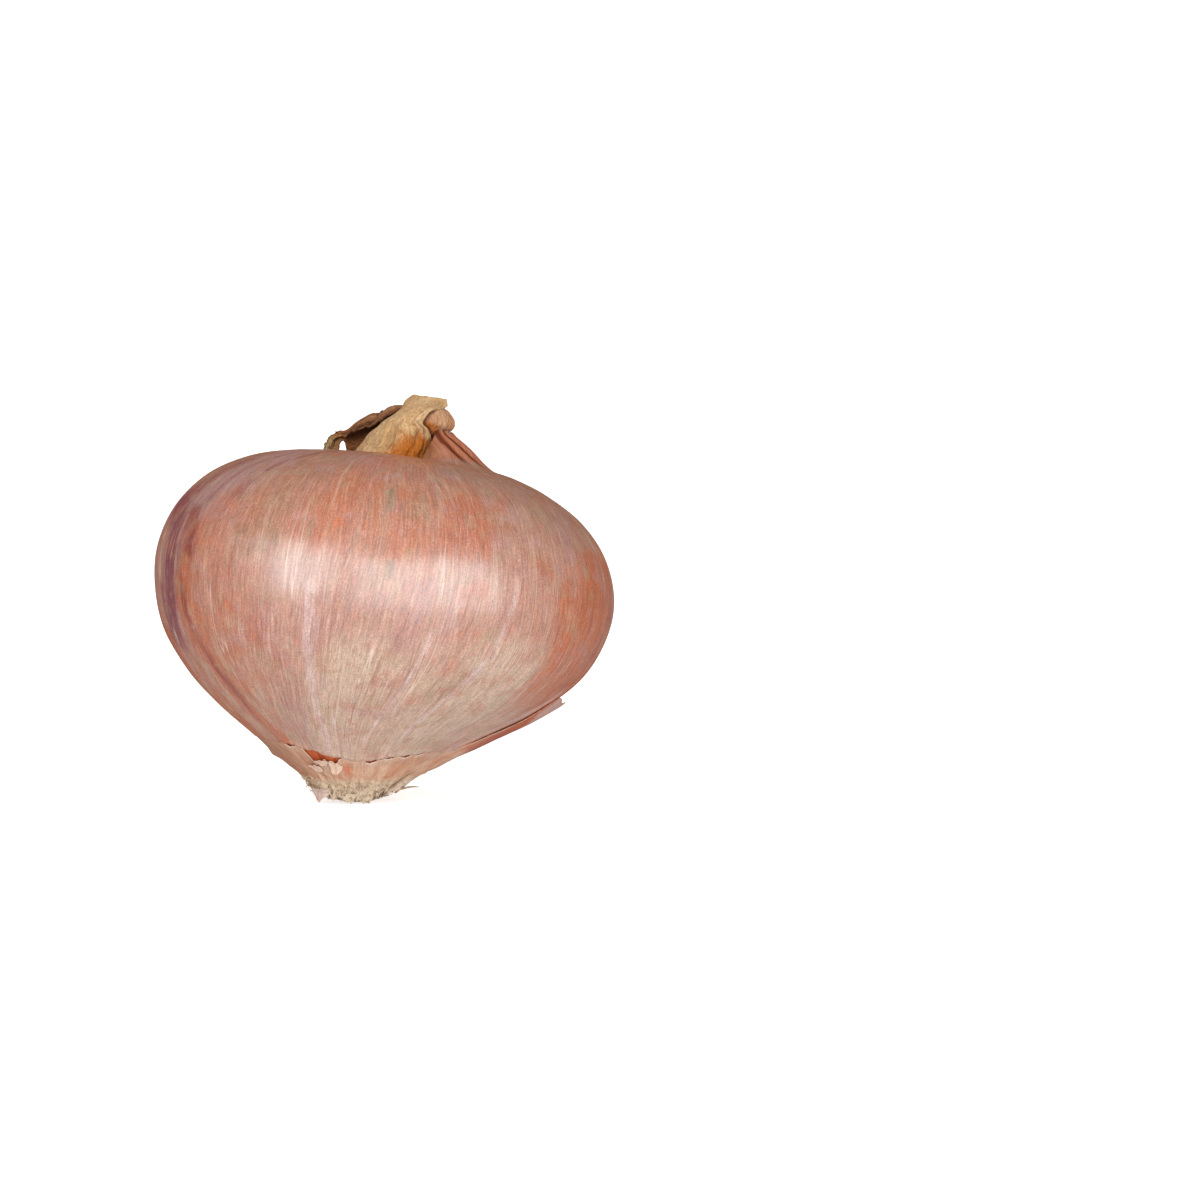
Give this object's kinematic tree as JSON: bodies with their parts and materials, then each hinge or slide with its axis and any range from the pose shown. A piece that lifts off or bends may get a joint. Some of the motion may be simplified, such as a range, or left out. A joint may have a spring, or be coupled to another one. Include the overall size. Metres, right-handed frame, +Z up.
{
  "type": "onion",
  "caption": "Whole pink onion: a broad, flattened bulb in dry papery skin, with a short twisted neck and trimmed roots it stands on.",
  "frame": {"origin": "centre of the flat spot of the root end that the onion stands on", "axes": "+Z up from the flat spot; -Y towards the viewer of the picture, +X to the viewer's right, along the widest side"},
  "size_m": [0.0777, 0.0771, 0.0689],
  "materials": {
    "inner_skin": "satin",
    "dry_skin": "satin",
    "base_skin": "satin",
    "roots": "matte",
    "neck_stub": "matte",
    "ochre_leaf": "matte",
    "brown_leaf": "matte"
  },
  "bodies": {
    "root": {"bulb": "inner_skin", "outer_skin": "dry_skin", "base_skin": "base_skin", "root_plate": "roots", "neck_stub": "neck_stub", "neck_leaf_front": "ochre_leaf", "neck_leaf_back": "brown_leaf"}
  },
  "joints": []
}
